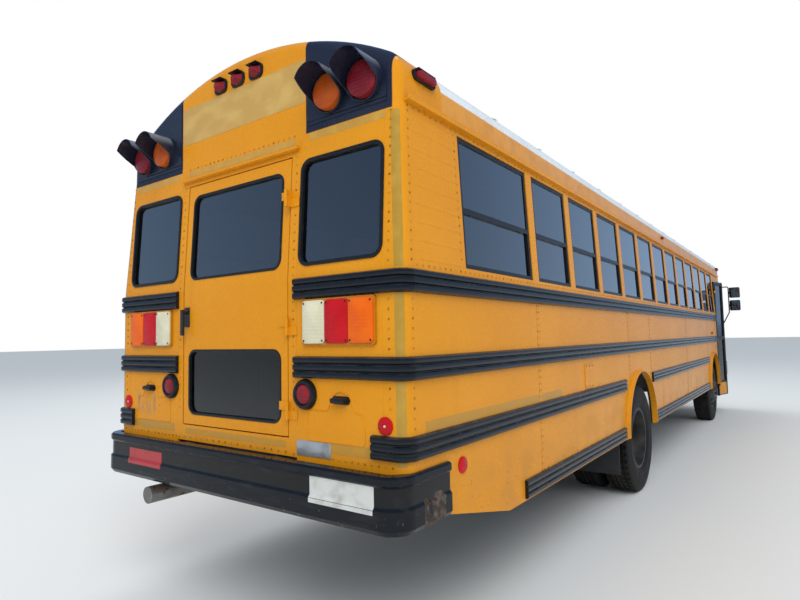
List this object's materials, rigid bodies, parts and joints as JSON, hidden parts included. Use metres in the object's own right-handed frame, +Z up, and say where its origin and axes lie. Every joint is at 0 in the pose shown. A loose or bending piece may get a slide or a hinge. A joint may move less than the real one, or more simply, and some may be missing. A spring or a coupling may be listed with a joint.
{
  "type": "school bus",
  "caption": "Flat-fronted full-size school bus with ribbed rub rails, rear emergency door, folding service door, roof hatches, stop arm and twin rear wheels.",
  "frame": {"origin": "on the ground under the middle of the bus's length and width", "axes": "+Z up, -Y the nose, +Y the tail, +X the driver's side, -X the kerb side with the service door"},
  "size_m": [3.034, 11.717, 3.3098],
  "materials": {
    "yellow": "gloss school-bus yellow, weathered",
    "white": "gloss white roof paint",
    "black": "gloss black, scuffed",
    "black_plastic": "matte black",
    "sash": "black anodised",
    "glass": "tinted",
    "red_lens": "ribbed red lens",
    "amber_lens": "ribbed amber lens",
    "clear_lens": "clear ribbed lens",
    "chassis": "black chassis paint, dusty",
    "steel": "bare steel",
    "cast": "cast, dull",
    "floor": "ribbed black floor covering",
    "vinyl": "dark green vinyl",
    "wheel": "black paint, dusty",
    "tyre": "dusty black rubber",
    "trim": "dark grey",
    "sign": "blank red plate"
  },
  "bodies": {
    "body": {"floor_deck": "floor", "wheelhouses": "floor", "left_side_wall": "yellow", "right_side_wall": "yellow", "rear_wall": "yellow", "front_wall": "yellow", "roof_panel": "white", "rear_roof_cap": "yellow", "front_roof_cap": "yellow", "window_sashes": "sash", "window_glass": "glass", "rub_rails": "black", "drip_rails": "yellow", "rear_bumper": "black", "front_bumper": "black", "front_grille": "black", "lamp_housings": "black_plastic", "red_lamp_lenses": "red_lens", "amber_lamp_lenses": "amber_lens", "clear_lamp_lenses": "clear_lens", "hinge_brackets": "yellow", "stepwell": "floor", "mirrors": "black", "left_bench_seats": "vinyl", "right_bench_seats": "vinyl", "seat_frames": "chassis", "driver_seat": "vinyl", "dashboard": "trim", "engine_cover": "trim", "engine_block": "cast", "radiator": "steel", "chassis_frame": "chassis", "front_axle": "chassis", "rear_axle": "chassis", "leaf_springs": "chassis", "driveshaft": "chassis", "fuel_tank": "chassis", "exhaust_pipe": "steel", "mudflaps": "black_plastic"},
    "rear_door": {"rear_emergency_door": "yellow", "rear_door_glass": "glass", "rear_door_handle": "black"},
    "service_rear": {"service_door_rear_leaf": "black", "service_door_rear_glass": "glass"},
    "service_front": {"service_door_front_leaf": "black", "service_door_front_glass": "glass"},
    "hatch_front": {"front_roof_hatch": "white"},
    "hatch_rear": {"rear_roof_hatch": "white"},
    "stop_sign_arm": {"stop_arm": "sign"},
    "knuckle_left": {"front_knuckle_left": "chassis"},
    "knuckle_right": {"front_knuckle_right": "chassis"},
    "front_left_wheel": {"front_tyre_left": "tyre", "front_wheel_left": "wheel"},
    "front_right_wheel": {"front_tyre_right": "tyre", "front_wheel_right": "wheel"},
    "rear_left_wheels": {"rear_tyres_left": "tyre", "rear_wheels_left": "wheel"},
    "rear_right_wheels": {"rear_tyres_right": "tyre", "rear_wheels_right": "wheel"},
    "steering_wheel_body": {"steering_wheel": "black_plastic"}
  },
  "joints": [
    {"name": "rear_door_hinge", "type": "hinge", "parent": "body", "child": "rear_door", "pos_m": [-0.466, 5.766, 1.8], "axis": [0, 0, 1], "range_deg": [0, 105]},
    {"name": "service_door_rear_hinge", "type": "hinge", "parent": "body", "child": "service_rear", "pos_m": [-1.205, -4.5375, 1.4], "axis": [0, 0, -1], "range_deg": [-15, 75]},
    {"name": "service_door_front_hinge", "type": "hinge", "parent": "body", "child": "service_front", "pos_m": [-1.205, -5.2815, 1.4], "axis": [0, 0, 1], "range_deg": [-15, 75]},
    {"name": "front_hatch_hinge", "type": "hinge", "parent": "body", "child": "hatch_front", "pos_m": [0, -2.742, 3.268], "axis": [1, 0, 0], "range_deg": [0, 75]},
    {"name": "rear_hatch_hinge", "type": "hinge", "parent": "body", "child": "hatch_rear", "pos_m": [0, 2.098, 3.268], "axis": [1, 0, 0], "range_deg": [0, 75]},
    {"name": "stop_arm_hinge", "type": "hinge", "parent": "body", "child": "stop_sign_arm", "pos_m": [1.247, -4.4795, 1.652], "axis": [0, 0, -1], "range_deg": [0, 90]},
    {"name": "steering_left", "type": "hinge", "parent": "body", "child": "knuckle_left", "pos_m": [0.9, -3.892, 0.527], "axis": [0, 0, 1], "range_deg": [-40, 40]},
    {"name": "steering_right", "type": "hinge", "parent": "body", "child": "knuckle_right", "pos_m": [-0.9, -3.892, 0.527], "axis": [0, 0, 1], "range_deg": [-40, 40]},
    {"name": "front_left_wheel_spin", "type": "hinge", "parent": "knuckle_left", "child": "front_left_wheel", "pos_m": [1.03, -3.892, 0.527], "axis": [1, 0, 0], "continuous": true},
    {"name": "front_right_wheel_spin", "type": "hinge", "parent": "knuckle_right", "child": "front_right_wheel", "pos_m": [-1.03, -3.892, 0.527], "axis": [1, 0, 0], "continuous": true},
    {"name": "rear_left_wheels_spin", "type": "hinge", "parent": "body", "child": "rear_left_wheels", "pos_m": [0.885, 1.62, 0.527], "axis": [1, 0, 0], "continuous": true},
    {"name": "rear_right_wheels_spin", "type": "hinge", "parent": "body", "child": "rear_right_wheels", "pos_m": [-0.885, 1.62, 0.527], "axis": [1, 0, 0], "continuous": true},
    {"name": "steering_wheel_turn", "type": "hinge", "parent": "body", "child": "steering_wheel_body", "pos_m": [0.69, -5.2895, 1.775], "axis": [0, 0.5, 0.866], "range_deg": [-640, 640]}
  ],
  "couplings": [
    {"joint": "service_door_front_hinge", "follows": "service_door_rear_hinge", "ratio": 1},
    {"joint": "steering_right", "follows": "steering_left", "ratio": 1},
    {"joint": "steering_wheel_turn", "follows": "steering_left", "ratio": 15}
  ]
}
